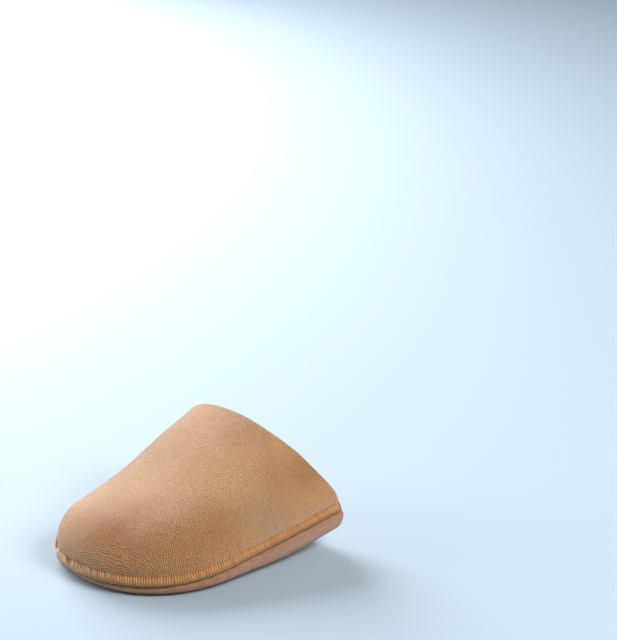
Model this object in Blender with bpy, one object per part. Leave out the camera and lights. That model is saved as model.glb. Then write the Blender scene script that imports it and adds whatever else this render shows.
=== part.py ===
"""Forefoot pad: a soft cloth cap for the toes and the ball of a left foot.

The pad is two cloth panels, an upper and a sole, joined by a raised overlock
seam that runs round the toe. It is open at the back, where the foot goes in.
It lies on its sole as it would by itself and keeps its worn form.

Frame: metres, +Z up, toe towards -Y, opening towards +Y, and the outer side
of the foot towards +X. The origin is the middle of the footprint, on the floor.
"""

import math
from collections import namedtuple

import bmesh
import bpy
import numpy as np
from mathutils import Vector

# Driving dimensions, in metres
PAD_LENGTH = 0.103          # toe tip to opening, along the middle of the foot
PAD_WIDTH = 0.090           # across the opening, outside the cloth
PAD_HEIGHT = 0.0535         # crest of the upper at the opening
JOIN_HEIGHT = 0.0172        # join of upper and sole at the outer rear edge
REAR_LIFT = 0.0045          # rise of the sole where it leaves the floor at the back
SOLE_CUT = 0.009            # its raw edge lies this much further forward under the foot
FLOOR_PRESS = 0.0012        # how far the floor presses the soft sole flat
UPPER_WALL = 0.0020         # cloth of the upper
SOLE_WALL = 0.0022          # cloth of the sole

# How the panels round off into the toe
TOE_DROP = 0.021            # length over which the crest drops to the toe tip
OUTER_ROUND = 0.049         # length over which the outer side closes to the tip
INNER_ROUND = 0.0235        # length over which the inner side closes to the tip
SOLE_ROUND = 0.014          # length over which the sole rises to the tip
TIP_SIDE = 0.0107           # the toe tip lies this far to the inner side

# The opening isn't square to the foot
OPENING_SKEW = 0.0076       # its outer side lies this much further back than its middle
OPENING_LEAN = 0.31         # its top leans forward by this share of its height
LEAN_HEIGHT = 0.012         # height that the lean leaves where it is

# Overlock seam
SEAM_WIDTH = 0.0042         # height of the band on the wall
SEAM_THICKNESS = 0.0011
SEAM_LAP = 0.0004           # how far it hangs below the join
SEAM_TUCK = 0.0010          # how far it pulls the cloth in
SOLE_ROLL = 0.0020          # height of sole cloth that turns in to the seam
SOLE_TURN = 0.0060          # drop below the join over which its wall turns level

CLEARANCE = 0.0003          # gap between neighbouring pieces

# One row for each cross-section. "along" is the share of PAD_LENGTH from the toe.
# Widths are shares of PAD_WIDTH to each side of the middle line, "crest" is a
# share of PAD_HEIGHT, joins of JOIN_HEIGHT and "lift" of REAR_LIFT.
Section = namedtuple("Section", "along outer inner crest crest_side join_outer join_inner lift")
SECTIONS = (
    Section(0.00, 0.431, 0.381, 0.441, 0.155, 0.221, 0.265, 0.3),
    Section(0.25, 0.459, 0.426, 0.520, 0.144, 0.319, 0.294, 0.0),
    Section(0.50, 0.483, 0.456, 0.651, 0.134, 0.533, 0.434, 0.0),
    Section(0.75, 0.509, 0.472, 0.848, 0.129, 0.774, 0.640, 0.0),
    Section(1.00, 0.525, 0.476, 1.000, 0.127, 1.000, 0.872, 1.0),
)

# Roundness of the outlines and cross-sections: 2 is an oval, more is boxier
CREST_CURVE, SOLE_CURVE = 2.2, 2.0
OUTER_CURVE, INNER_CURVE = 2.1, 2.2
OUTER_BELLY, OUTER_SHOULDER = 1.8, 2.0
INNER_BELLY, INNER_SHOULDER = 2.3, 2.3
SOLE_CORNER = 4.0
SEAM_CORNER = 0.5           # power of the band's section: 1 is an oval, less is boxier

# How sharply skew, lean and cut grow towards the opening, as powers of the length
SKEW_GROWTH, LEAN_GROWTH, CUT_GROWTH = 2, 1.5, 3
CUT_ROUND = 1.5             # and how the cut grows from the join down

# Shallow hollows of the upper: the valley beside the big toe. "along" is a share
# of PAD_LENGTH, the rest of PAD_WIDTH.
Dent = namedtuple("Dent", "along side length width depth")
DENTS = (
    Dent(0.20, 0.09, 0.28, 0.085, 0.012),
)
DENT_START = 0.08           # share of PAD_LENGTH over which dents fade out at the tip

# Mesh counts
UPPER_ALONG, UPPER_AROUND = 26, 40
SOLE_ALONG, SOLE_AROUND = 24, 28
SEAM_ALONG, SEAM_AROUND = 84, 10

TIP_SPACING = 2.0           # rows crowd towards the toe, where the cloth turns most
EDGE_SPACING = 1.6          # and towards the seam, where it is pulled in
MERGE_DISTANCE = 1e-6
FLAT_ANGLE = math.radians(0.02)
SHARP_ANGLE = math.radians(45)


def column(name, share):
    """Value of one column of SECTIONS at a share of the length, as a smooth curve."""
    at = np.array([row.along for row in SECTIONS])
    values = np.array([getattr(row, name) for row in SECTIONS])
    slopes = np.gradient(values, at)
    i = min(max(int(np.searchsorted(at, share)) - 1, 0), len(at) - 2)
    span = at[i + 1] - at[i]
    t = (share - at[i]) / span
    return float(
        (1 + 2 * t) * (1 - t) ** 2 * values[i]
        + t * (1 - t) ** 2 * span * slopes[i]
        + t * t * (3 - 2 * t) * values[i + 1]
        + t * t * (t - 1) * span * slopes[i + 1]
    )


def rounding(distance, length, power):
    """0 at the toe tip and 1 past the given length, like a quarter of an oval."""
    left = min(max(1 - distance / length, 0), 1)
    return (1 - left ** power) ** (1 / power)


def smooth_step(share):
    share = min(max(share, 0), 1)
    return share * share * (3 - 2 * share)


def cross_section(station, depth):
    """Outline sizes at a station, on a surface that lies depth inside the cloth's face."""
    share = max(station, 0) / PAD_LENGTH
    run = max(station - depth, 0)
    join_outer = JOIN_HEIGHT * column("join_outer", share)
    join_inner = JOIN_HEIGHT * column("join_inner", share)
    tip_join = JOIN_HEIGHT * (SECTIONS[0].join_outer + SECTIONS[0].join_inner) / 2
    blend = max(1 - share / SECTIONS[1].along, 0) ** 2
    join_outer += (tip_join - JOIN_HEIGHT * SECTIONS[0].join_outer) * blend
    join_inner += (tip_join - JOIN_HEIGHT * SECTIONS[0].join_inner) * blend
    middle = (join_outer + join_inner) / 2
    tip = -TIP_SIDE
    outer = PAD_WIDTH * column("outer", share) - depth
    inner = -PAD_WIDTH * column("inner", share) + depth
    crest_side = -PAD_WIDTH * column("crest_side", share)
    crest = PAD_HEIGHT * column("crest", share) - depth
    base = REAR_LIFT * column("lift", share) - FLOOR_PRESS
    drop = rounding(run, TOE_DROP, CREST_CURVE)
    return {
        "outer": tip + (outer - tip) * rounding(run, OUTER_ROUND, OUTER_CURVE),
        "inner": tip + (inner - tip) * rounding(run, INNER_ROUND, INNER_CURVE),
        "crest_side": tip + (crest_side - tip) * drop,
        "crest": middle + (crest - middle) * drop,
        "join_outer": join_outer,
        "join_inner": join_inner,
        "base": middle + (base - middle) * rounding(run, SOLE_ROUND, SOLE_CURVE),
    }


def lean(x, station, z):
    """Place in the pad's frame, with the opening's skew and lean worked in."""
    share = max(station, 0) / PAD_LENGTH
    skew = OPENING_SKEW * (x / (PAD_WIDTH / 2)) * share ** SKEW_GROWTH
    tilt = OPENING_LEAN * (z - LEAN_HEIGHT) * share ** LEAN_GROWTH
    return Vector((x, station + skew - tilt, z))


def turn_of(around):
    """Angle round a panel: 0 on its middle line and a right angle at the join."""
    return (1 - (1 - abs(around)) ** EDGE_SPACING) * math.pi / 2


def side_of(section, sign):
    """Edge, join height and roundness of the outer (+1) or inner (-1) side."""
    if sign > 0:
        return section["outer"], section["join_outer"], OUTER_BELLY, OUTER_SHOULDER
    return section["inner"], section["join_inner"], INNER_BELLY, INNER_SHOULDER


def dent_depth(x, station):
    """How far the dents push the upper in at a place."""
    depth = 0.0
    for dent in DENTS:
        ahead = (station - dent.along * PAD_LENGTH) / (dent.length * PAD_WIDTH)
        aside = (x - dent.side * PAD_WIDTH) / (dent.width * PAD_WIDTH)
        depth += dent.depth * PAD_WIDTH * math.exp(-(ahead ** 2 + aside ** 2))
    return depth


def upper_point(along, around, depth):
    """Point of the upper: along is 0 at the toe and 1 at the opening, and around
    runs from the inner join (-1) over the crest to the outer join (1)."""
    sign = 1 if around > 0 else -1
    reach = math.sin(turn_of(around))

    def rise(section):
        edge, join, belly, shoulder = side_of(section, sign)
        height = (section["crest"] - join) * (1 - reach ** shoulder) ** (1 / belly)
        return edge, join, height

    station = depth + (PAD_LENGTH - depth) * along ** TIP_SPACING
    edge, join, height = rise(cross_section(station, depth))
    tuck = SEAM_TUCK * (1 - smooth_step((height - SEAM_WIDTH / 2) / SEAM_WIDTH))
    station = depth + tuck + (PAD_LENGTH - depth - tuck) * along ** TIP_SPACING
    section = cross_section(station, depth + tuck)
    edge, join, height = rise(section)
    x = section["crest_side"] + (edge - section["crest_side"]) * reach
    fade = smooth_step(height / (2 * SEAM_WIDTH))
    fade *= smooth_step(along ** TIP_SPACING / DENT_START)
    z = join + CLEARANCE / 2 + height - dent_depth(x, station) * fade
    return lean(x, station, z)


def sole_point(along, around, depth):
    """Point of the sole: around runs from the inner join (-1) under the foot to
    the outer join (1). The floor presses it flat."""
    sign = 1 if around > 0 else -1
    across, down = math.sin(turn_of(around)), math.cos(turn_of(around))
    boxy = (across ** SOLE_CORNER + down ** SOLE_CORNER) ** (-1 / SOLE_CORNER)

    def fall(section):
        edge, join, _, _ = side_of(section, sign)
        return edge, join, (join - section["base"]) * down * boxy

    station = depth + (PAD_LENGTH - depth) * along ** TIP_SPACING
    edge, join, drop = fall(cross_section(station, depth))
    tuck = SEAM_TUCK * (1 - smooth_step(drop / SOLE_ROLL))
    station = depth + tuck + (PAD_LENGTH - depth - tuck) * along ** TIP_SPACING
    section = cross_section(station, depth + tuck)
    edge, join, drop = fall(section)
    middle = (section["outer"] + section["inner"]) / 2
    x = middle + (edge - middle) * across * boxy
    z = max(join - CLEARANCE / 2 - drop, 0) + depth * smooth_step(drop / SOLE_TURN)
    cut = SOLE_CUT * (station / PAD_LENGTH) ** CUT_GROWTH * (down * boxy) ** CUT_ROUND
    return lean(x, station, z) - Vector((0, cut, 0))


def tip_station(height, depth):
    """Station where the crest stands the given height over the join."""
    low, high = depth, depth + TOE_DROP
    for _ in range(40):
        middle = (low + high) / 2
        section = cross_section(middle, depth)
        if section["crest"] - (section["join_outer"] + section["join_inner"]) / 2 < height:
            low = middle
        else:
            high = middle
    return high


def seam_point(along, turn):
    """Point of the seam band: along runs from the inner rear edge (-1) round the
    toe to the outer rear edge (1), and turn goes round its section."""
    sign = 1 if along > 0 else -1
    out = math.copysign(abs(math.cos(turn)) ** SEAM_CORNER, math.cos(turn))
    up = math.copysign(abs(math.sin(turn)) ** SEAM_CORNER, math.sin(turn))
    height = SEAM_WIDTH / 2 - SEAM_LAP + up * SEAM_WIDTH / 2
    on_wall = max(height, 0)
    tuck = SEAM_TUCK * (1 - smooth_step((on_wall - SEAM_WIDTH / 2) / SEAM_WIDTH))
    depth = tuck - CLEARANCE - SEAM_THICKNESS * (1 + out) / 2
    start = tip_station(on_wall, depth)
    station = start + (PAD_LENGTH - start) * abs(along) ** TIP_SPACING
    section = cross_section(station, depth)
    edge, join, belly, shoulder = side_of(section, sign)
    risen = min(on_wall / (section["crest"] - join), 1)
    reach = (1 - risen ** belly) ** (1 / shoulder)
    x = section["crest_side"] + (edge - section["crest_side"]) * reach
    return lean(x, station, join + height)


def cloth(name, colour, roughness):
    """Plain cloth: a colour and a soft roughness."""
    material = bpy.data.materials.new(name)
    material.use_nodes = True
    shader = material.node_tree.nodes["Principled BSDF"]
    shader.inputs["Base Color"].default_value = (*colour, 1)
    shader.inputs["Roughness"].default_value = roughness
    shader.inputs["Metallic"].default_value = 0
    return material


def add_object(name, bm, material):
    """Point the faces out and link the mesh as a smooth shaded object."""
    bmesh.ops.recalc_face_normals(bm, faces=bm.faces)
    mesh = bpy.data.meshes.new(name)
    bm.to_mesh(mesh)
    bm.free()
    mesh.materials.append(material)
    mesh.shade_smooth()
    mesh.set_sharp_from_angle(angle=SHARP_ANGLE)
    made = bpy.data.objects.new(name, mesh)
    bpy.context.scene.collection.objects.link(made)
    return made


def panel(along_count, around_count, place, wall):
    """A curved cloth panel: a grid laid on its outer face and extruded inwards."""
    bm = bmesh.new()
    bmesh.ops.create_grid(bm, x_segments=around_count, y_segments=along_count, size=1)
    around = bm.verts.layers.float.new("around")
    along = bm.verts.layers.float.new("along")
    for vert in bm.verts:
        vert[around] = vert.co.x
        vert[along] = (vert.co.y + 1) / 2
    inside = bmesh.ops.extrude_face_region(bm, geom=bm.faces[:])["geom"]
    inside = {item for item in inside if isinstance(item, bmesh.types.BMVert)}
    for vert in bm.verts:
        depth = wall if vert in inside else 0
        vert.co = place(vert[along], vert[around], depth)
    bmesh.ops.remove_doubles(bm, verts=bm.verts, dist=MERGE_DISTANCE)
    return bm


def make_upper():
    """Panel over the toes and the instep."""
    bm = panel(UPPER_ALONG, UPPER_AROUND, upper_point, UPPER_WALL)
    return add_object("upper", bm, cloth("upper_cloth", (0.50, 0.30, 0.17), 0.9))


def make_sole():
    """Panel under the toes and the ball, whose flat underside is one face."""
    bm = panel(SOLE_ALONG, SOLE_AROUND, sole_point, SOLE_WALL)
    bmesh.ops.dissolve_limit(bm, angle_limit=FLAT_ANGLE, verts=bm.verts, edges=bm.edges)
    return add_object("sole", bm, cloth("sole_cloth", (0.44, 0.27, 0.16), 0.95))


def make_seam_band():
    """Overlock seam: a rounded band laid over the join, on the upper."""
    bm = bmesh.new()
    bmesh.ops.create_grid(bm, x_segments=SEAM_ALONG, y_segments=SEAM_AROUND, size=1)
    for vert in bm.verts:
        vert.co = seam_point(vert.co.x, vert.co.y * math.pi)
    bmesh.ops.remove_doubles(bm, verts=bm.verts, dist=MERGE_DISTANCE)
    bmesh.ops.holes_fill(bm, edges=bm.edges, sides=0)
    return add_object("seam_band", bm, cloth("seam_thread", (0.56, 0.31, 0.13), 0.8))


def centre_on_floor(made):
    """Move the meshes so that the middle of the footprint is the origin."""
    corners = np.array([vert.co for item in made for vert in item.data.vertices])
    low, high = corners.min(axis=0), corners.max(axis=0)
    shift = Vector(((low[0] + high[0]) / 2, (low[1] + high[1]) / 2, 0))
    for item in made:
        for vert in item.data.vertices:
            vert.co -= shift


for old in list(bpy.data.objects):
    bpy.data.objects.remove(old, do_unlink=True)

centre_on_floor([make_upper(), make_sole(), make_seam_band()])
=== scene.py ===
import math
import random
from collections import namedtuple

import bmesh
import bpy
import numpy as np
from mathutils import Matrix, Vector, noise


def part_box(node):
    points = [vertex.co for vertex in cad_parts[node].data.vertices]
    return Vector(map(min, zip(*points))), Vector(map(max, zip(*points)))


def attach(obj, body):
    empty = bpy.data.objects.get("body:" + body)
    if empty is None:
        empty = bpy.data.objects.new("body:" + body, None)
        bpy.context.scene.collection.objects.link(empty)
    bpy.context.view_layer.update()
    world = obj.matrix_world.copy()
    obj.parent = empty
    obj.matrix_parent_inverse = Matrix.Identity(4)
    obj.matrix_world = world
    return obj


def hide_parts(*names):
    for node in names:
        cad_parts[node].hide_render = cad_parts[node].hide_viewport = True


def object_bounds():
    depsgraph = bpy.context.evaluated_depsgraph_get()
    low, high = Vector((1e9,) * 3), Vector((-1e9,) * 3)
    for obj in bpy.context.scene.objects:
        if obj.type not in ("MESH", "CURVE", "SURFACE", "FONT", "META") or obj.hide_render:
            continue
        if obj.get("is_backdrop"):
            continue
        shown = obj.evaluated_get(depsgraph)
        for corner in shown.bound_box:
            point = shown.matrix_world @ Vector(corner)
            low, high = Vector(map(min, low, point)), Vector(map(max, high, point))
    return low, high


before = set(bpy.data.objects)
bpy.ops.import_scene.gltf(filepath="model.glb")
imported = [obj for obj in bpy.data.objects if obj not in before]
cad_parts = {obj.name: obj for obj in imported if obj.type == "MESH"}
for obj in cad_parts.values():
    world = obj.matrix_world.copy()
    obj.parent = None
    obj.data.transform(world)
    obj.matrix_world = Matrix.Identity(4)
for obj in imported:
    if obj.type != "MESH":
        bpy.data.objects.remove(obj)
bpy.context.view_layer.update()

# Upper
# The panel over the toes and the instep: one piece of fine knitted stretch cloth,
# 2 mm thick, cut raw at the opening. It is drawn in along its lower edge, where the
# overlock seam holds it to the sole, and keeps the form of the foot.

PAD_LENGTH = 0.103
PAD_WIDTH = 0.090
PAD_HEIGHT = 0.0535
JOIN_HEIGHT = 0.0172
REAR_LIFT = 0.0045
FLOOR_PRESS = 0.0012
TOE_DROP, OUTER_ROUND, INNER_ROUND, SOLE_ROUND = 0.021, 0.049, 0.0235, 0.014
CREST_CURVE, OUTER_CURVE, INNER_CURVE, SOLE_CURVE = 2.2, 2.1, 2.2, 2.0
TIP_SIDE = 0.0107
OPENING_SKEW, SKEW_GROWTH = 0.0076, 2
OPENING_LEAN, LEAN_GROWTH, LEAN_HEIGHT = 0.31, 1.5, 0.012
OUTER_BELLY, OUTER_SHOULDER = 1.8, 2.0
INNER_BELLY, INNER_SHOULDER = 2.3, 2.3
TOE_BOX = 0.7  # how much squarer the outer shoulder is at the toe
SEAM_WIDTH = 0.0042
SEAM_TUCK, TUCK_REACH = 0.0010, 0.0080

# "along" is a share of PAD_LENGTH, widths are shares of PAD_WIDTH, "crest" of
# PAD_HEIGHT, joins of JOIN_HEIGHT and "lift" of REAR_LIFT.
Section = namedtuple("Section", "along outer inner crest crest_side join_outer join_inner lift")
SECTIONS = (
    Section(0.00, 0.431, 0.381, 0.441, 0.155, 0.221, 0.265, 0.3),
    Section(0.25, 0.459, 0.426, 0.520, 0.144, 0.319, 0.294, 0.0),
    Section(0.50, 0.483, 0.456, 0.651, 0.134, 0.533, 0.434, 0.0),
    Section(0.75, 0.509, 0.472, 0.848, 0.129, 0.774, 0.640, 0.0),
    Section(1.00, 0.525, 0.476, 1.000, 0.127, 1.000, 0.872, 1.0),
)

UPPER_WALL = 0.0020
UPPER_ALONG, UPPER_AROUND = 120, 150
TIP_SPACING, EDGE_SPACING = 2.0, 1.35
RIM_ROUND = 0.0006

# The valley beside the big toe, as shares of PAD_LENGTH and PAD_WIDTH
VALLEY_ALONG, VALLEY_SIDE = 0.20, 0.09
VALLEY_LENGTH, VALLEY_WIDTH, VALLEY_DEPTH = 0.025, 0.0077, 0.0006
VALLEY_START = 0.08

# Unevenness of the worn cloth: broad lumps with finer ones on them, puckers at the seam
# whose rows slant and wander, and a wavy cut edge. The toe tip and the cut edge are held.
DRAPE_SIZE, DRAPE_DEPTH = 0.024, 0.00018
FINE_SHARE, FINE_TIMES = 0.3, 2.3
PUCKER_PITCH, PUCKER_DEPTH, PUCKER_REACH = 0.0062, 0.00022, 0.0075
PUCKER_SLANT, WANDER_SIZE, WANDER_TURN = 0.6, 0.011, 6.6
UPPER_TIP_ROWS, EDGE_ROWS = 6, 4
EDGE_WAVE, LONG_WAVES, SHORT_WAVES, WAVE_FADE = 0.0004, 9, 21, 12

UPPER_LIGHT = (0.800, 0.432, 0.192)
UPPER_DARK = (0.240, 0.092, 0.026)

# The knit: its loops' pitches, how far they wander in pitches, the slant of a loop's
# legs, and the shares of legs, fuzz and unevenness in its grain
WALE_PITCH, COURSE_PITCH = 0.00104, 0.00086
WALE_WANDER, COURSE_WANDER = 1.5, 1.9
LOOP_SLANT = 1.1
LEG_SHARE, FUZZ_SHARE, UNEVEN_SHARE = 0.85, 0.3, 0.7
GRAIN_LOW, GRAIN_HIGH = 0.76, 1.22
BUMP_DEPTH, FUZZ_DEPTH = 0.0005, 0.00015

# Broad patches that darken or pale the cloth, chosen by comparing the render with the
# photo: painted shade where they darken and painted highlight where they pale, and no
# marks on the cloth. The last one is painted shade that only keeps the inner side, which
# doesn't show, from coming out too bright. Place in the model's frame, reach, and what
# the cloth's colour is multiplied by.
PaintedShading = namedtuple("PaintedShading", "place reach tint")
UPPER_PAINTED_SHADING = (
    PaintedShading((0.003, -0.038, 0.0245), 0.030, (0.68, 0.51, 0.34)),
    PaintedShading((0.024, -0.018, 0.0230), 0.034, (0.80, 0.74, 0.66)),
    PaintedShading((0.024, 0.011, 0.0360), 0.020, (1.14, 1.25, 1.36)),
    PaintedShading((0.040, 0.016, 0.0250), 0.024, (0.92, 1.04, 1.32)),
    PaintedShading((0.003, 0.031, 0.0495), 0.020, (0.82, 0.73, 0.62)),
    PaintedShading((0.034, 0.043, 0.0360), 0.014, (0.80, 0.75, 0.70)),
    PaintedShading((-0.041, 0.010, 0.0200), 0.046, (0.72, 0.75, 0.84)),
)
PAINTED_SHADING_FLATNESS = 1.5
MERGE_DISTANCE = 1e-6


def column(name, share):
    """Value of one column of SECTIONS at shares of the length, as a smooth curve."""
    at = np.array([row.along for row in SECTIONS])
    values = np.array([getattr(row, name) for row in SECTIONS])
    slopes = np.gradient(values, at)
    i = np.clip(np.searchsorted(at, share) - 1, 0, len(at) - 2)
    span = at[i + 1] - at[i]
    t = (share - at[i]) / span
    start = (1 + 2 * t) * (1 - t) ** 2 * values[i] + t * (1 - t) ** 2 * span * slopes[i]
    return start + t * t * (3 - 2 * t) * values[i + 1] + t * t * (t - 1) * span * slopes[i + 1]


def rounding(distance, length, power):
    """0 at the toe tip and 1 past the given length, like a quarter of an oval."""
    left = np.clip(1 - distance / length, 0, 1)
    return (1 - left ** power) ** (1 / power)


def smooth_step(share):
    share = np.clip(share, 0, 1)
    return share * share * (3 - 2 * share)


def cross_section(station, depth):
    """Outline sizes at stations, on a surface that lies depth inside the cloth's face."""
    share = np.maximum(station, 0) / PAD_LENGTH
    run = np.maximum(station - depth, 0)
    first = SECTIONS[0]
    tip_join = JOIN_HEIGHT * (first.join_outer + first.join_inner) / 2
    blend = np.maximum(1 - share / SECTIONS[1].along, 0) ** 2
    join = {}
    for side in ("join_outer", "join_inner"):
        level = JOIN_HEIGHT * column(side, share)
        join[side] = level + (tip_join - JOIN_HEIGHT * getattr(first, side)) * blend
    middle = (join["join_outer"] + join["join_inner"]) / 2
    drop = rounding(run, TOE_DROP, CREST_CURVE)
    outer = PAD_WIDTH * column("outer", share) - depth + TIP_SIDE
    inner = -PAD_WIDTH * column("inner", share) + depth + TIP_SIDE
    crest_side = -PAD_WIDTH * column("crest_side", share) + TIP_SIDE
    crest = PAD_HEIGHT * column("crest", share) - depth
    base = REAR_LIFT * column("lift", share) - FLOOR_PRESS
    return {
        "outer": outer * rounding(run, OUTER_ROUND, OUTER_CURVE) - TIP_SIDE,
        "inner": inner * rounding(run, INNER_ROUND, INNER_CURVE) - TIP_SIDE,
        "crest_side": crest_side * drop - TIP_SIDE,
        "crest": middle + (crest - middle) * drop,
        "base": middle + (base - middle) * rounding(run, SOLE_ROUND, SOLE_CURVE),
        **join,
    }


def lean(x, station, z):
    """Places in the pad's frame, with the opening's skew and lean worked in."""
    share = np.maximum(station, 0) / PAD_LENGTH
    skew = OPENING_SKEW * (x / (PAD_WIDTH / 2)) * share ** SKEW_GROWTH
    tilt = OPENING_LEAN * (z - LEAN_HEIGHT) * share ** LEAN_GROWTH
    return np.stack([x, station + skew - tilt, z], axis=-1)


def turn_of(around):
    """Angle round a panel: 0 on its middle line and a right angle at the join."""
    return (1 - (1 - np.abs(around)) ** EDGE_SPACING) * math.pi / 2


def shoulder_of(station, outer):
    """How square a section's shoulder is, from 2, round."""
    share = np.clip(station / PAD_LENGTH, 0, 1)
    return np.where(outer, OUTER_SHOULDER + TOE_BOX * (1 - share ** 3), INNER_SHOULDER)


def tuck_at(height):
    """How far the seam draws the upper in at a height over the join."""
    return SEAM_TUCK * (1 - smooth_step((height - SEAM_WIDTH / 2) / TUCK_REACH))


def edge_of(section, outer):
    """Edge and join height of a section's outer side, or its inner one."""
    edge = np.where(outer, section["outer"], section["inner"])
    return edge, np.where(outer, section["join_outer"], section["join_inner"])


def upper_points(along, around, depth, station=None):
    """Places on the upper: along is 0 at the toe and 1 at the opening, and around
    runs from the inner join (-1) over the crest to the outer join (1)."""
    outer = around > 0
    belly = np.where(outer, OUTER_BELLY, INNER_BELLY)
    reach = np.sin(turn_of(around))

    def station_at(inset):
        return inset + (PAD_LENGTH - inset) * along ** TIP_SPACING

    shoulder = shoulder_of(station_at(depth), outer)
    rise = (1 - reach ** shoulder) ** (1 / belly)
    section = cross_section(station_at(depth), depth)
    _, join = edge_of(section, outer)
    height = (section["crest"] - join) * rise
    tuck = tuck_at(height)
    station = station_at(depth + tuck)
    section = cross_section(station, depth + tuck)
    edge, join = edge_of(section, outer)
    height = (section["crest"] - join) * rise
    x = section["crest_side"] + (edge - section["crest_side"]) * reach
    ahead = (station - VALLEY_ALONG * PAD_LENGTH) / VALLEY_LENGTH
    aside = (x - VALLEY_SIDE * PAD_WIDTH) / VALLEY_WIDTH
    valley = VALLEY_DEPTH * np.exp(-(ahead ** 2 + aside ** 2))
    valley *= smooth_step(height / (2 * SEAM_WIDTH))
    valley *= smooth_step(station / (VALLEY_START * PAD_LENGTH))
    return lean(x, station, join + height - valley)


def run_lengths(places, axis):
    """Length run along one axis of a grid of places."""
    steps = np.linalg.norm(np.diff(places, axis=axis), axis=-1)
    return np.insert(np.cumsum(steps, axis=axis), 0, 0, axis=axis)


# The model's frame has its origin in the middle of the footprint
outer_corner = upper_points(np.array(1.0), np.array(1.0), 0.0)
FOOTPRINT = Vector(outer_corner) - Vector(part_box("upper")[1])
FOOTPRINT.z = 0


def worn_unevenness(place, height):
    """How far the worn cloth lies out of its smooth form: broad soft lumps, and
    short puckers that the seam draws in, which fade with height from it."""
    lumps = noise.noise(place / DRAPE_SIZE)
    lumps += FINE_SHARE * noise.noise(place / DRAPE_SIZE * FINE_TIMES)
    run = (place.y - PUCKER_SLANT * place.x) / PUCKER_PITCH
    drawn = math.sin(2 * math.pi * run + WANDER_TURN * noise.noise(place / WANDER_SIZE))
    fade = max(1 - height / PUCKER_REACH, 0) ** 2
    return DRAPE_DEPTH * lumps + PUCKER_DEPTH * drawn * fade


def panel(along_count, around_count, place_at, wall):
    """A curved cloth panel: a grid laid on its outer face, with its run lengths as
    UV map, extruded inwards to the cloth's thickness."""
    along = np.linspace(0, 1, along_count + 1)
    around = np.linspace(-1, 1, around_count + 1)
    grid = np.meshgrid(along, around, indexing="ij")
    faces_out = place_at(grid[0], grid[1], 0.0)
    faces_in = place_at(grid[0], grid[1], wall)
    middle = around_count // 2
    across = run_lengths(faces_out, 1)
    across -= across[:, middle:middle + 1]
    down = run_lengths(faces_out, 0)
    bm = bmesh.new()
    bmesh.ops.create_grid(bm, x_segments=around_count, y_segments=along_count, size=1)
    row = bm.verts.layers.int.new("row")
    col = bm.verts.layers.int.new("col")
    for vert in bm.verts:
        vert[col] = round((vert.co.x + 1) / 2 * around_count)
        vert[row] = round((vert.co.y + 1) / 2 * along_count)
    uv = bm.loops.layers.uv.new("cloth")
    turned = bmesh.ops.extrude_face_region(bm, geom=bm.faces[:])["geom"]
    inside = {item for item in turned if isinstance(item, bmesh.types.BMVert)}
    for face in bm.faces:
        face.smooth = True
        inner = sum(vert in inside for vert in face.verts)
        face.material_index = 1 if inner == len(face.verts) else 0 if inner == 0 else 2
        for loop in face.loops:
            i, j = loop.vert[row], loop.vert[col]
            loop[uv].uv = (across[i, j], down[i, j])
    for vert in bm.verts:
        source = faces_in if vert in inside else faces_out
        vert.co = source[vert[row], vert[col]]
    bmesh.ops.remove_doubles(bm, verts=bm.verts, dist=MERGE_DISTANCE)
    bmesh.ops.recalc_face_normals(bm, faces=bm.faces)
    return bm, row, col


def round_rims(bm):
    """Round the cut edges of a panel."""
    rims = [e for e in bm.edges if len(e.link_faces) == 2 and e.calc_face_angle() > 0.9]
    bmesh.ops.bevel(
        bm, geom=rims, offset=RIM_ROUND, segments=3, profile=0.5,
        affect="EDGES", material=-1, clamp_overlap=True,
    )


def add_piece(name, bm, materials):
    """Move the mesh to the model's frame and link it as a piece at the origin."""
    bmesh.ops.translate(bm, verts=bm.verts, vec=-FOOTPRINT)
    mesh = bpy.data.meshes.new(name)
    bm.to_mesh(mesh)
    bm.free()
    for material in materials:
        mesh.materials.append(material)
    piece = bpy.data.objects.new(name, mesh)
    bpy.context.scene.collection.objects.link(piece)
    return piece


def node(tree, kind, inputs=(), **settings):
    """Add a shader node, set its fields, and fill inputs by name or place."""
    made = tree.nodes.new(kind)
    for field, value in settings.items():
        setattr(made, field, value)
    for key, value in dict(inputs).items():
        if isinstance(value, bpy.types.NodeSocket):
            tree.links.new(value, made.inputs[key])
        else:
            made.inputs[key].default_value = value
    return made


def math_node(tree, operation, *values):
    return node(tree, "ShaderNodeMath", enumerate(values), operation=operation).outputs[0]


def place_of(tree):
    return node(tree, "ShaderNodeTexCoord").outputs["Object"]


def mix_colour(tree, share, first, second, blend="MIX"):
    made = node(
        tree, "ShaderNodeMix", {"Factor": share}, data_type="RGBA", blend_type=blend
    )
    for socket, value in ((made.inputs[6], first), (made.inputs[7], second)):
        if isinstance(value, bpy.types.NodeSocket):
            tree.links.new(value, socket)
        else:
            socket.default_value = (*value, 1)
    return made.outputs[2]


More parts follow.
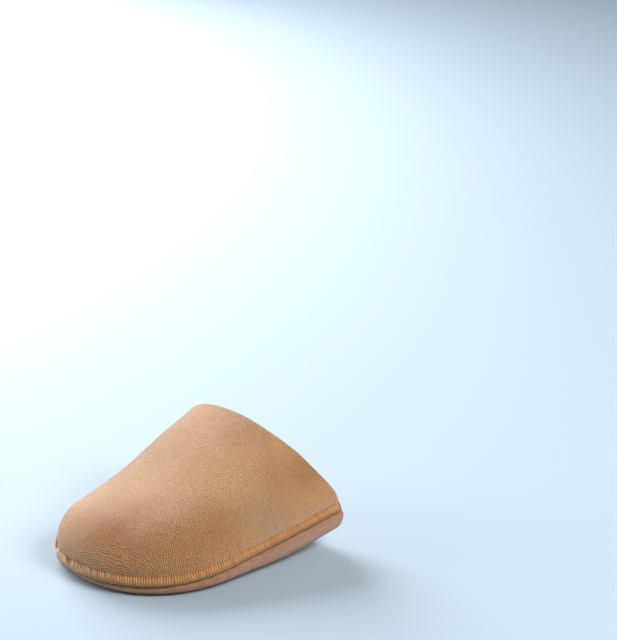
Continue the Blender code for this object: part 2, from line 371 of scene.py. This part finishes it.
def knit(name, light, dark, sheen, bump=0.68, reverse=False, painted_shading=()):
    """Fine jersey knit: columns of V loops that wander a little, with painted shade between
    the loops, mottled, with any given patches of painted shade and painted highlight, and
    a soft fuzz on top."""
    material = bpy.data.materials.new(name)
    material.use_nodes = True
    tree = material.node_tree
    shader = tree.nodes["Principled BSDF"]
    run = node(tree, "ShaderNodeUVMap", uv_map="cloth").outputs[0]
    place = place_of(tree)
    wander = node(tree, "ShaderNodeTexNoise", {"Vector": place, "Scale": 260.0, "Detail": 2.0})
    wander = node(
        tree, "ShaderNodeVectorMath",
        {0: wander.outputs["Color"],
         1: (WALE_PITCH * WALE_WANDER, COURSE_PITCH * COURSE_WANDER, 0)},
        operation="MULTIPLY",
    ).outputs[0]
    bent = node(tree, "ShaderNodeVectorMath", {0: run, 1: wander}, operation="ADD").outputs[0]
    split = node(tree, "ShaderNodeSeparateXYZ", {0: bent})
    wale = math_node(tree, "DIVIDE", split.outputs[0], WALE_PITCH)
    course = math_node(tree, "DIVIDE", split.outputs[1], COURSE_PITCH)
    leg = math_node(tree, "PINGPONG", wale, 0.5)
    slant = math_node(tree, "MULTIPLY_ADD", leg, -LOOP_SLANT if reverse else LOOP_SLANT, course)
    loops = math_node(tree, "SINE", math_node(tree, "MULTIPLY", slant, 2 * math.pi))
    legs = math_node(tree, "SINE", math_node(tree, "MULTIPLY", wale, 4 * math.pi))
    weave = math_node(tree, "MULTIPLY_ADD", legs, LEG_SHARE, loops)
    weave = node(tree, "ShaderNodeMapRange", {0: weave, 1: -1.7, 2: 1.7}).outputs[0]
    fuzz = node(tree, "ShaderNodeTexNoise", {"Vector": place, "Scale": 2400.0, "Detail": 3.0})
    patches = node(tree, "ShaderNodeTexNoise", {"Vector": place, "Scale": 55.0, "Detail": 4.0})
    uneven = node(tree, "ShaderNodeTexNoise", {"Vector": place, "Scale": 1000.0, "Detail": 2.0})
    raised = math_node(tree, "MULTIPLY_ADD", fuzz.outputs[0], FUZZ_SHARE, weave)
    raised = math_node(tree, "MULTIPLY_ADD", uneven.outputs[0], UNEVEN_SHARE, raised)
    grain = node(
        tree, "ShaderNodeMapRange", {0: raised, 1: GRAIN_LOW, 2: GRAIN_HIGH},
        interpolation_type="SMOOTHSTEP",
    )
    # The grain's dark colour is painted shade between the loops, mixed with random unevenness of the
    # yarn and its fuzz
    colour = mix_colour(tree, grain.outputs[0], dark, light)
    tint = node(
        tree, "ShaderNodeMapRange", {0: patches.outputs[0], 1: 0.3, 2: 0.7, 3: 0.95, 4: 1.04}
    )
    colour = mix_colour(
        tree, 1.0, colour,
        node(tree, "ShaderNodeCombineColor", {i: tint.outputs[0] for i in range(3)}).outputs[0],
        blend="MULTIPLY",
    )
    # Patches of painted shade and painted highlight, multiplied onto the cloth's colour
    squashed = node(
        tree, "ShaderNodeVectorMath", {0: place, 1: (1, 1, PAINTED_SHADING_FLATNESS)}, operation="MULTIPLY"
    ).outputs[0]
    for patch in painted_shading:
        x, y, z = patch.place
        away = node(
            tree, "ShaderNodeVectorMath", {0: squashed, 1: (x, y, z * PAINTED_SHADING_FLATNESS)},
            operation="DISTANCE",
        ).outputs["Value"]
        share = node(
            tree, "ShaderNodeMapRange", {0: away, 1: 0.0, 2: patch.reach, 3: 1.0, 4: 0.0},
            interpolation_type="SMOOTHSTEP",
        ).outputs[0]
        tint = mix_colour(tree, share, (1, 1, 1), patch.tint)
        colour = mix_colour(tree, 1.0, colour, tint, blend="MULTIPLY")
    tree.links.new(colour, shader.inputs["Base Color"])
    rough = node(tree, "ShaderNodeMapRange", {0: grain.outputs[0], 3: 0.98, 4: 0.78})
    tree.links.new(rough.outputs[0], shader.inputs["Roughness"])
    first = node(
        tree, "ShaderNodeBump", {"Strength": bump, "Distance": BUMP_DEPTH, "Height": raised}
    )
    second = node(
        tree, "ShaderNodeBump",
        {"Strength": 0.35, "Distance": FUZZ_DEPTH, "Height": fuzz.outputs[0],
         "Normal": first.outputs[0]},
    )
    tree.links.new(second.outputs[0], shader.inputs["Normal"])
    shader.inputs["Specular IOR Level"].default_value = 0.25
    shader.inputs["Sheen Weight"].default_value = sheen
    shader.inputs["Sheen Roughness"].default_value = 0.40
    shader.inputs["Sheen Tint"].default_value = (0.97, 0.99, 1.0, 1)
    return material


def raw_edge(name, light, dark):
    """The cut through the cloth: short broken fibres, matt and a little darker."""
    material = bpy.data.materials.new(name)
    material.use_nodes = True
    tree = material.node_tree
    shader = tree.nodes["Principled BSDF"]
    place = place_of(tree)
    ends = node(tree, "ShaderNodeTexVoronoi", {"Vector": place, "Scale": 2600.0})
    tufts = node(tree, "ShaderNodeTexNoise", {"Vector": place, "Scale": 700.0, "Detail": 5.0})
    share = math_node(tree, "MULTIPLY_ADD", tufts.outputs[0], 1.2, ends.outputs["Distance"])
    share = node(tree, "ShaderNodeMapRange", {0: share, 1: 0.55, 2: 1.15}).outputs[0]
    tree.links.new(mix_colour(tree, share, dark, light), shader.inputs["Base Color"])
    bump = node(tree, "ShaderNodeBump", {"Strength": 0.7, "Distance": 0.0003, "Height": share})
    tree.links.new(bump.outputs[0], shader.inputs["Normal"])
    shader.inputs["Roughness"].default_value = 0.95
    shader.inputs["Specular IOR Level"].default_value = 0.15
    shader.inputs["Sheen Weight"].default_value = 0.4
    return material


def upper_place(along, around, depth):
    """The upper's grid, with its raw edge waving a little."""
    places = upper_points(along, around, depth)
    wave = np.sin(around * LONG_WAVES + 1) + 0.5 * np.sin(around * SHORT_WAVES)
    places[..., 1] += EDGE_WAVE * wave * along ** WAVE_FADE
    return places


upper_bm, row, col = panel(UPPER_ALONG, UPPER_AROUND, upper_place, UPPER_WALL)
for vert in upper_bm.verts:
    join = JOIN_HEIGHT * float(column("join_outer", max(vert.co.y, 0) / PAD_LENGTH))
    height = max(vert.co.z - join, 0)
    hold = min(vert[row] / UPPER_TIP_ROWS, 1) * min((UPPER_ALONG - vert[row]) / EDGE_ROWS, 1)
    vert.co += vert.normal * worn_unevenness(vert.co, height) * hold
round_rims(upper_bm)
knit_out = knit("upper_knit", UPPER_LIGHT, UPPER_DARK, 0.70, painted_shading=UPPER_PAINTED_SHADING)
knit_in = knit("upper_reverse", (0.64, 0.40, 0.25), (0.40, 0.21, 0.11), 0.3, reverse=True)
cut_edge = raw_edge("upper_cut_edge", (0.62, 0.36, 0.20), (0.26, 0.12, 0.05))
upper = add_piece("upper_panel", upper_bm, (knit_out, knit_in, cut_edge))
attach(upper, "root")
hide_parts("upper")

# Sole
# The panel under the toes and the ball: the same cloth, a little heavier, turned up
# at the sides to meet the upper. The floor presses its underside flat, and its raw
# rear edge is cut forward under the foot.

SOLE_WALL = 0.0022
SOLE_CORNER = 4.0
SOLE_CUT, CUT_GROWTH, CUT_ROUND = 0.009, 3, 1.5
SOLE_ROLL, SOLE_TURN = 0.0020, 0.0060
SOLE_ALONG, SOLE_AROUND = 110, 120
SOLE_LIGHT = (0.640, 0.325, 0.180)
SOLE_DARK = (0.280, 0.112, 0.048)

# Its puckers: depth, pitch, slant, how they wander, and between which shares of the way
# from the middle to the join they grow and end
SOLE_PUCKER, SOLE_PUCKER_PITCH, SOLE_SLANT = 0.00030, 0.0052, 0.5
SOLE_WANDER_SIZE, SOLE_WANDER_TURN = 0.012, 5
SOLE_PUCKER_START, SOLE_PUCKER_END = 0.45, 0.97
SOLE_TIP_ROWS = 5


def sole_points(along, around, depth):
    """Places on the sole: around runs from the inner join (-1) under the foot to the
    outer join (1). The floor presses it flat."""
    outer = around > 0
    across, down = np.sin(turn_of(around)), np.cos(turn_of(around))
    boxy = (across ** SOLE_CORNER + down ** SOLE_CORNER) ** (-1 / SOLE_CORNER)

    def station_at(inset):
        return inset + (PAD_LENGTH - inset) * along ** TIP_SPACING

    section = cross_section(station_at(depth), depth)
    _, join = edge_of(section, outer)
    drop = (join - section["base"]) * down * boxy
    tuck = SEAM_TUCK * (1 - smooth_step(drop / SOLE_ROLL))
    station = station_at(depth + tuck)
    section = cross_section(station, depth + tuck)
    edge, join = edge_of(section, outer)
    drop = (join - section["base"]) * down * boxy
    middle = (section["outer"] + section["inner"]) / 2
    x = middle + (edge - middle) * across * boxy
    z = np.maximum(join - drop, 0) + depth * smooth_step(drop / SOLE_TURN)
    cut = SOLE_CUT * (station / PAD_LENGTH) ** CUT_GROWTH * (down * boxy) ** CUT_ROUND
    places = lean(x, station, z)
    places[..., 1] -= cut
    return places


sole_bm, row, col = panel(SOLE_ALONG, SOLE_AROUND, sole_points, SOLE_WALL)
for vert in sole_bm.verts:
    side = abs(vert[col] / SOLE_AROUND * 2 - 1)
    run = vert.co.y - SOLE_SLANT * vert.co.x
    wander = noise.noise(vert.co / SOLE_WANDER_SIZE) * SOLE_WANDER_TURN
    drawn = math.sin(2 * math.pi * run / SOLE_PUCKER_PITCH + wander)
    fade = max((side - SOLE_PUCKER_START) / (1 - SOLE_PUCKER_START), 0)
    fade *= 1 - max(side - SOLE_PUCKER_END, 0) / (1 - SOLE_PUCKER_END)
    hold = min(vert[row] / SOLE_TIP_ROWS, 1) * min((SOLE_ALONG - vert[row]) / EDGE_ROWS, 1)
    vert.co += vert.normal * SOLE_PUCKER * drawn * fade * hold
    vert.co.z = max(vert.co.z, 0)
round_rims(sole_bm)
sole_out = knit("sole_knit", SOLE_LIGHT, SOLE_DARK, 0.6)
sole_in = knit("sole_reverse", (0.60, 0.37, 0.23), (0.36, 0.19, 0.10), 0.3, reverse=True)
sole_edge = raw_edge("sole_cut_edge", (0.54, 0.31, 0.18), (0.22, 0.10, 0.045))
sole = add_piece("sole_panel", sole_bm, (sole_out, sole_in, sole_edge))
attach(sole, "root")
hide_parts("sole")

# Overlocked edge
# The two cloth edges, rolled together and laid up against the upper: the core that the
# overlock thread wraps. It runs from the outer rear edge round the toe to the inner one.

CORE_THICKNESS = 0.0009
CORE_ALONG, CORE_AROUND = 460, 14
CORE_MIDDLE, CORE_REACH = 0.00165, 0.00215
CORE_ROUND = 0.6  # 1 is an oval section, less is squarer
CORE_TAPER, CORE_END_SHARE = 0.015, 0.15
CORE_FOOT_SHARE, CORE_FOOT = 0.45, 0.0020
# Painted shade on the core: near black low down between the thread's legs, dark red-brown at its top
CORE_DEEP_SHADE = (0.012, 0.006, 0.003)
CORE_TOP_SHADE = (0.26, 0.085, 0.025)


def tip_station(height, depth):
    """Station where the crest stands the given height over the join."""
    low = np.array(depth, dtype=float)
    high = low + TOE_DROP
    for _ in range(30):
        middle = (low + high) / 2
        section = cross_section(middle, depth)
        below = section["crest"] - (section["join_outer"] + section["join_inner"]) / 2 < height
        low, high = np.where(below, middle, low), np.where(below, high, middle)
    return high


def wall_points(along, height, lift):
    """Places over the wall: along runs from the inner rear edge (-1) round the toe to
    the outer rear edge (1), height from the join, and lift out from the cloth."""
    outer = along > 0
    on_wall = np.maximum(height, 0)
    tuck = tuck_at(on_wall)
    depth = tuck - lift
    start = tip_station(on_wall, depth)
    station = start + (PAD_LENGTH - start) * np.abs(along) ** TIP_SPACING
    section = cross_section(station, depth)
    edge, join = edge_of(section, outer)
    belly = np.where(outer, OUTER_BELLY, INNER_BELLY)
    shoulder = shoulder_of(station, outer)
    risen = np.clip(on_wall / (section["crest"] - join), 0, 1)
    reach = (1 - risen ** belly) ** (1 / shoulder)
    x = section["crest_side"] + (edge - section["crest_side"]) * reach
    return lean(x, station, join + height)


core_bm = bmesh.new()
bmesh.ops.create_grid(core_bm, x_segments=CORE_ALONG, y_segments=CORE_AROUND, size=1)
core_bm.verts.index_update()
core_uv = core_bm.loops.layers.uv.new("rise")
core_along = np.array([vert.co.x for vert in core_bm.verts])
core_turn = np.array([vert.co.y for vert in core_bm.verts]) * math.pi
core_out = np.sign(np.cos(core_turn)) * np.abs(np.cos(core_turn)) ** CORE_ROUND
core_up = np.sign(np.sin(core_turn)) * np.abs(np.sin(core_turn)) ** CORE_ROUND
core_height = CORE_MIDDLE + core_up * CORE_REACH
core_end = smooth_step((1 - np.abs(core_along)) / CORE_TAPER)
core_lift = CORE_FOOT_SHARE + (1 - CORE_FOOT_SHARE) * smooth_step(core_height / CORE_FOOT)
core_lift *= CORE_THICKNESS * (1 + core_out) / 2
core_lift *= CORE_END_SHARE + (1 - CORE_END_SHARE) * core_end
core_places = wall_points(core_along, core_height, core_lift)
for face in core_bm.faces:
    face.smooth = True
    for loop in face.loops:
        loop[core_uv].uv = (loop.vert.co.x, core_height[loop.vert.index] / SEAM_WIDTH)
for vert, place in zip(core_bm.verts, core_places):
    vert.co = place
bmesh.ops.remove_doubles(core_bm, verts=core_bm.verts, dist=MERGE_DISTANCE)
bmesh.ops.holes_fill(core_bm, edges=core_bm.edges, sides=0)
bmesh.ops.recalc_face_normals(core_bm, faces=core_bm.faces)

shadowed = bpy.data.materials.new("seam_core_shaded_cloth")
shadowed.use_nodes = True
tree = shadowed.node_tree
shader = tree.nodes["Principled BSDF"]
rise = node(tree, "ShaderNodeUVMap", uv_map="rise").outputs[0]
rise = node(tree, "ShaderNodeSeparateXYZ", {0: rise}).outputs[1]
rise = node(tree, "ShaderNodeMapRange", {0: rise, 1: 0.20, 2: 0.60}).outputs[0]
fibres = node(tree, "ShaderNodeTexNoise", {"Vector": place_of(tree), "Scale": 1800.0, "Detail": 3.0})
fleck = node(tree, "ShaderNodeMapRange", {0: fibres.outputs[0], 3: 0.4, 4: 1.4}).outputs[0]
fleck = node(tree, "ShaderNodeCombineColor", {i: fleck for i in range(3)}).outputs[0]
# Painted shade: the core goes from near black low down, where the slits between the legs are, to
# dark red-brown under the loops at the top
colour = mix_colour(tree, rise, CORE_DEEP_SHADE, CORE_TOP_SHADE)
colour = mix_colour(tree, 1.0, colour, fleck, blend="MULTIPLY")
tree.links.new(colour, shader.inputs["Base Color"])
bump = node(
    tree, "ShaderNodeBump",
    {"Strength": 0.8, "Distance": 0.0002, "Height": fibres.outputs[0]},
)
tree.links.new(bump.outputs[0], shader.inputs["Normal"])
shader.inputs["Roughness"].default_value = 0.95
shader.inputs["Specular IOR Level"].default_value = 0.1
core = add_piece("seam_core", core_bm, (shadowed,))
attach(core, "root")
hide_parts("seam_band")

# Overlock stitches
# Soft golden thread that zigzags over the core, one stitch every 1.2 mm: two legs lie
# together in a loop over the upper and spread apart down to the join, where the next
# loop goes round the edge. Between them the core shows in slits, painted dark as shade.

STITCH_PITCH = 0.00119
STITCH_SLANT = 0.0010
THREAD_SIDES = 6
THREAD_LIGHT = (0.92, 0.47, 0.17)
THREAD_DARK = (0.52, 0.20, 0.05)
THREAD_PALE = (0.95, 0.75, 0.52)
THREAD_LOW = (0.76, 0.46, 0.23)  # paler, down at the join

# Half a stitch from the join up: height over the join, lift from the cloth, the leg's
# distance from the stitch's middle, and the thread's half width and half thickness, in mm
Leg = namedtuple("Leg", "height lift aside width thickness")
LEGS = (
    Leg(-1.05, -0.75, 0.595, 0.15, 0.14),
    Leg(-0.75, -0.25, 0.480, 0.15, 0.14),
    Leg(-0.05, 0.38, 0.430, 0.15, 0.15),
    Leg(0.70, 0.80, 0.395, 0.16, 0.17),
    Leg(1.70, 1.02, 0.340, 0.20, 0.19),
    Leg(2.70, 1.00, 0.270, 0.24, 0.19),
    Leg(3.55, 0.78, 0.205, 0.23, 0.18),
    Leg(4.15, 0.42, 0.155, 0.20, 0.17),
    Leg(4.55, -0.02, 0.0, 0.17, 0.16),
)

# How uneven the stitches are, in shares of a stitch, and how much more round the toe
LOOSE, LOOSE_TOE, THIN_TOE = 0.05, 0.09, 0.12
TOE_PLACE, TOE_SPREAD = 0.40, 0.12
FIRST_STITCH = 0.6
THREAD_STRAY = 0.00025
SEAM_SAMPLES = 2001

seam_shares = np.linspace(-1, 1, SEAM_SAMPLES)
on_join = np.zeros(SEAM_SAMPLES)
seam_run = run_lengths(wall_points(seam_shares, on_join, on_join), 0)
seam_length = seam_run[-1]
stitch_count = int(seam_length / STITCH_PITCH)
draw = random.Random(7)
stops = []
for number in range(stitch_count):
    middle = (number + FIRST_STITCH) * STITCH_PITCH
    toe = math.exp(-((middle / seam_length - TOE_PLACE) / TOE_SPREAD) ** 2)
    loose = LOOSE + LOOSE_TOE * toe
    middle += draw.uniform(-1, 1) * loose * STITCH_PITCH
    tall, fat, proud = (1 + draw.uniform(-1, 1) * loose for _ in range(3))
    fat *= 1 - THIN_TOE * toe
    tone = draw.random()
    rising = LEGS if number else LEGS[1:]
    for side, legs in ((-1, rising), (1, LEGS[-2::-1])):
        for leg in legs:
            height = leg.height * (tall if leg.height > 0 else 1) / 1000
            run = middle + side * leg.aside / 1000
            run -= STITCH_SLANT * (height / SEAM_WIDTH - 0.5)
            run += draw.uniform(-1, 1) * THREAD_STRAY * loose
            stops.append((run, height, leg.lift * proud / 1000,
                          leg.width * fat / 1000, leg.thickness / 1000, tone, toe))
run, height, lift, width, thickness, tone, toe = np.array(stops).T
route = wall_points(np.interp(run, seam_run, seam_shares), height, lift)
outward = wall_points(np.interp(run, seam_run, seam_shares), height, lift + 0.001) - route

thread_bm = bmesh.new()
last = len(stops) - 1
bmesh.ops.create_grid(thread_bm, x_segments=last, y_segments=THREAD_SIDES, size=1)
thread_bm.verts.index_update()
thread_uv = thread_bm.loops.layers.uv.new("thread")
shade = thread_bm.loops.layers.float_color.new("shade")
thread_run = run_lengths(route, 0)
stop_of = [round((vert.co.x + 1) / 2 * last) for vert in thread_bm.verts]
turn_at = [(vert.co.y + 1) / 2 for vert in thread_bm.verts]
for face in thread_bm.faces:
    face.smooth = True
    for loop in face.loops:
        i = stop_of[loop.vert.index]
        loop[thread_uv].uv = (thread_run[i], turn_at[loop.vert.index])
        loop[shade] = (tone[i], toe[i], height[i] / SEAM_WIDTH, 1)
for vert, i, turn in zip(thread_bm.verts, stop_of, turn_at):
    ahead = Vector(route[min(i + 1, last)] - route[max(i - 1, 0)]).normalized()
    aside = ahead.cross(Vector(outward[i])).normalized()
    above = aside.cross(ahead)
    angle = turn * 2 * math.pi
    vert.co = Vector(route[i]) + aside * math.cos(angle) * width[i]
    vert.co += above * math.sin(angle) * thickness[i]
bmesh.ops.remove_doubles(thread_bm, verts=thread_bm.verts, dist=MERGE_DISTANCE)
bmesh.ops.holes_fill(thread_bm, edges=thread_bm.edges, sides=0)
bmesh.ops.recalc_face_normals(thread_bm, faces=thread_bm.faces)

thread = bpy.data.materials.new("overlock_thread")
thread.use_nodes = True
tree = thread.node_tree
shader = tree.nodes["Principled BSDF"]
twist = node(tree, "ShaderNodeUVMap", uv_map="thread").outputs[0]
twist = node(tree, "ShaderNodeMapping", {"Vector": twist, "Scale": (1400.0, 1.0, 1.0)})
ply = node(
    tree, "ShaderNodeTexWave",
    {"Vector": twist.outputs[0], "Scale": 0.5, "Distortion": 1.2, "Detail": 1.0},
    bands_direction="DIAGONAL",
)
shades = node(tree, "ShaderNodeVertexColor", layer_name="shade").outputs[0]
shades = node(tree, "ShaderNodeSeparateColor", {0: shades})
mottle = node(tree, "ShaderNodeTexNoise", {"Vector": place_of(tree), "Scale": 420.0})
# The twist's grooves come out darker as painted shade, mixed with each stitch's random tone and
# mottling
mixed = math_node(tree, "MULTIPLY", ply.outputs["Fac"], 0.35)
mixed = math_node(tree, "MULTIPLY_ADD", shades.outputs[0], 0.35, mixed)
mixed = math_node(tree, "MULTIPLY_ADD", mottle.outputs[0], 0.4, mixed)
colour = mix_colour(tree, mixed, THREAD_DARK, THREAD_LIGHT)
low = node(tree, "ShaderNodeMapRange", {0: shades.outputs[2], 1: 0.1, 2: 0.6, 3: 0.9, 4: 0.0})
colour = mix_colour(tree, low.outputs[0], colour, THREAD_LOW)
pale = math_node(tree, "MULTIPLY", shades.outputs[1], shades.outputs[0])
specks = node(tree, "ShaderNodeTexNoise", {"Vector": place_of(tree), "Scale": 1500.0})
specks = node(tree, "ShaderNodeMapRange", {0: specks.outputs[0], 1: 0.4, 2: 0.6, 3: 0.1, 4: 1.5})
pale = math_node(tree, "MULTIPLY", pale, specks.outputs[0])
colour = mix_colour(tree, pale, colour, THREAD_PALE)
tree.links.new(colour, shader.inputs["Base Color"])
bump = node(
    tree, "ShaderNodeBump", {"Strength": 0.6, "Distance": 0.0001, "Height": ply.outputs["Fac"]}
)
tree.links.new(bump.outputs[0], shader.inputs["Normal"])
shader.inputs["Roughness"].default_value = 0.55
shader.inputs["Specular IOR Level"].default_value = 0.4
shader.inputs["Sheen Weight"].default_value = 0.3
stitches = add_piece("seam_stitches", thread_bm, (thread,))
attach(stitches, "root")
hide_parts("seam_band")

# Floor, light and camera
# A plain pale floor and three soft lights: one low beside the inner side, like a window,
# one high on the outer side, and a weak one by the toe.

LIGHT_AIM = Vector((0, 0, 0.02))
FLOOR_COLOUR = (0.39, 0.475, 0.555)

floor_bm = bmesh.new()
bmesh.ops.create_grid(floor_bm, x_segments=1, y_segments=1, size=3.0)
floor_mesh = bpy.data.meshes.new("floor")
floor_bm.to_mesh(floor_mesh)
floor_bm.free()
floor = bpy.data.objects.new("floor", floor_mesh)
bpy.context.scene.collection.objects.link(floor)
paper = bpy.data.materials.new("pale_floor")
paper.use_nodes = True
paper.node_tree.nodes["Principled BSDF"].inputs["Base Color"].default_value = (*FLOOR_COLOUR, 1)
paper.node_tree.nodes["Principled BSDF"].inputs["Roughness"].default_value = 0.85
floor_mesh.materials.append(paper)
floor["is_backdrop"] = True

world = bpy.data.worlds.new("soft_surround")
world.use_nodes = True
world.node_tree.nodes["Background"].inputs["Color"].default_value = (0.86, 0.93, 1.0, 1)
world.node_tree.nodes["Background"].inputs["Strength"].default_value = 0.18
bpy.context.scene.world = world
bpy.context.scene.view_settings.view_transform = "Standard"


def soft_light(name, place, size, power, colour):
    """A square area light at a place, turned to the pad."""
    data = bpy.data.lights.new(name, "AREA")
    data.size, data.energy, data.color = size, power, colour
    lamp = bpy.data.objects.new(name, data)
    lamp.location = place
    lamp.rotation_euler = (Vector(place) - LIGHT_AIM).to_track_quat("Z", "Y").to_euler()
    bpy.context.scene.collection.objects.link(lamp)


soft_light("window_light", (-0.89, 0.12, 0.40), 0.7, 22.0, (0.96, 0.98, 1.0))
soft_light("side_light", (0.65, 0.27, 0.72), 0.5, 9.6, (1.0, 0.99, 0.97))
soft_light("left_light", (-0.75, -0.55, 0.30), 0.5, 5.0, (1.0, 1.0, 1.0))

# The photo's view: azimuth and elevation of the view line, its distance from the pad,
# the focal length in pixels and where the pad's middle lies in the frame
VIEW_AZIMUTH, VIEW_ELEVATION = math.radians(48.98), math.radians(23.0)
VIEW_DISTANCE = 0.926
FOCAL_PIXELS = 2086.0
FRAME_WIDTH, FRAME_HEIGHT = 617, 640
AIM_PIXEL = (176.3, 506.9)
AIM_PLACE = Vector((0, 0.052, 0.020)) - FOOTPRINT

back = Vector((
    math.sin(VIEW_AZIMUTH) * math.cos(VIEW_ELEVATION),
    -math.cos(VIEW_AZIMUTH) * math.cos(VIEW_ELEVATION),
    math.sin(VIEW_ELEVATION),
))
right = Vector((math.cos(VIEW_AZIMUTH), math.sin(VIEW_AZIMUTH), 0))
up = back.cross(right)
aside = (AIM_PIXEL[0] - FRAME_WIDTH / 2) / FOCAL_PIXELS * VIEW_DISTANCE
above = (FRAME_HEIGHT / 2 - AIM_PIXEL[1]) / FOCAL_PIXELS * VIEW_DISTANCE
camera_data = bpy.data.cameras.new("camera")
camera_data.sensor_width = 36.0
camera_data.lens = FOCAL_PIXELS * camera_data.sensor_width / max(FRAME_WIDTH, FRAME_HEIGHT)
camera = bpy.data.objects.new("camera", camera_data)
bpy.context.scene.collection.objects.link(camera)
camera.matrix_world = Matrix.Translation(
    AIM_PLACE + back * VIEW_DISTANCE - right * aside - up * above
) @ Matrix((right, up, back)).transposed().to_4x4()
bpy.context.scene.camera = camera

low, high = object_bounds()
